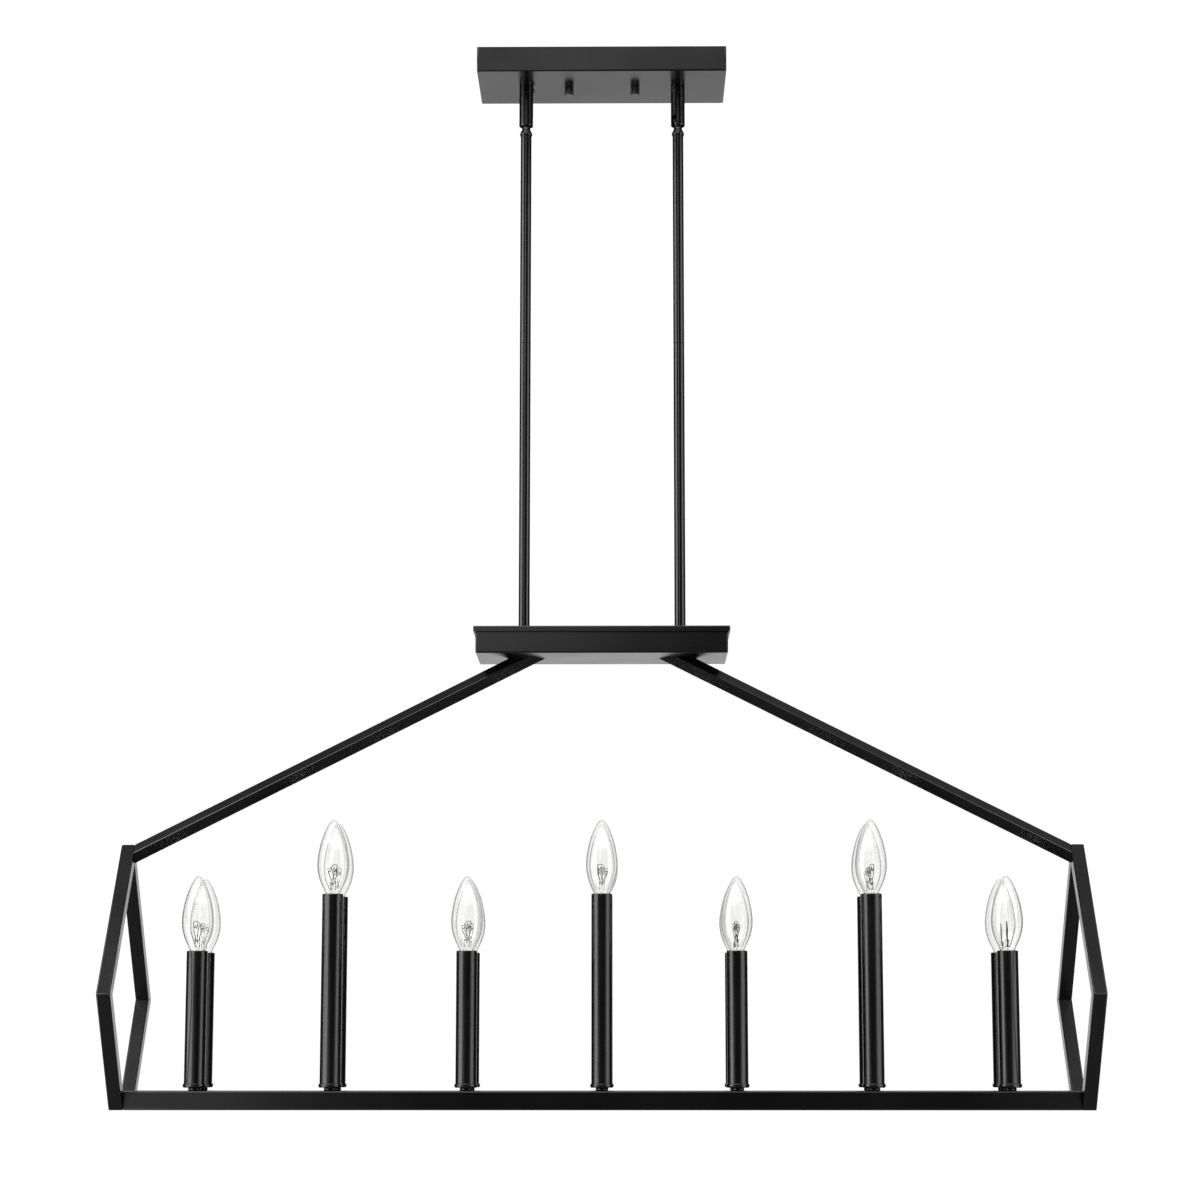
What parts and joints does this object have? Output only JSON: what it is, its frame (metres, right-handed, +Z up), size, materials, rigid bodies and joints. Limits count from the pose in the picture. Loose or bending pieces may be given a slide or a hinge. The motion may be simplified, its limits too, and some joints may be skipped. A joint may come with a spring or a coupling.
{
  "type": "linear island pendant light",
  "caption": "Linear pendant: a flat canopy, two swivel-hung stems, a wiring housing and sloping arms carry an open steel frame with two rails of candle lights.",
  "frame": {"origin": "middle of the ceiling strap's top face, where it lies against the ceiling", "axes": "+Z up into the ceiling, +X along the pendant to the right in the picture, +Y to the back"},
  "size_m": [1.067, 0.268, 1.194],
  "materials": {
    "black_paint": "satin black powder coat on steel",
    "plated_steel": "zinc-plated steel",
    "lampholder": "matte black moulded phenolic",
    "bulb_glass": "clear glass"
  },
  "bodies": {
    "ceiling_mount": {"ceiling_strap": "plated_steel", "canopy_strap": "plated_steel", "strap_eyelet": "plated_steel", "canopy_screws": "plated_steel", "canopy_screw_nuts": "plated_steel", "canopy": "black_paint", "canopy_thumb_nuts": "black_paint", "swivel_nipples": "plated_steel", "swivel_locknuts": "plated_steel", "swivel_collars": "black_paint", "swivel_sleeves": "black_paint"},
    "hanging_frame": {"swivel_balls": "black_paint", "upper_stems": "black_paint", "middle_stems": "black_paint", "lower_stems": "black_paint", "stem_joiners": "plated_steel", "housing_lid": "black_paint", "housing_body": "black_paint", "housing_crossbar": "plated_steel", "housing_locknuts": "plated_steel", "housing_nipples": "plated_steel", "left_arm": "black_paint", "left_front_upper_tube": "black_paint", "left_front_lower_tube": "black_paint", "left_foot_tube": "black_paint", "left_rear_lower_tube": "black_paint", "left_rear_upper_tube": "black_paint", "right_arm": "black_paint", "right_front_upper_tube": "black_paint", "right_front_lower_tube": "black_paint", "right_foot_tube": "black_paint", "right_rear_lower_tube": "black_paint", "right_rear_upper_tube": "black_paint", "front_rail": "black_paint", "front_candle_studs": "plated_steel", "front_candle_seats": "black_paint", "front_short_sleeves": "black_paint", "front_tall_sleeves": "black_paint", "front_lampholders": "lampholder", "front_short_bulbs": "bulb_glass", "front_tall_bulbs": "bulb_glass", "rear_rail": "black_paint", "rear_candle_studs": "plated_steel", "rear_candle_seats": "black_paint", "rear_short_sleeves": "black_paint", "rear_tall_sleeves": "black_paint", "rear_lampholders": "lampholder", "rear_short_bulbs": "bulb_glass", "rear_tall_bulbs": "bulb_glass"}
  },
  "joints": [
    {"name": "swivel_sway", "type": "hinge", "parent": "ceiling_mount", "child": "hanging_frame", "pos_m": [0, 0, -0.071], "axis": [1, 0, 0], "range_deg": [-15, 15]}
  ]
}
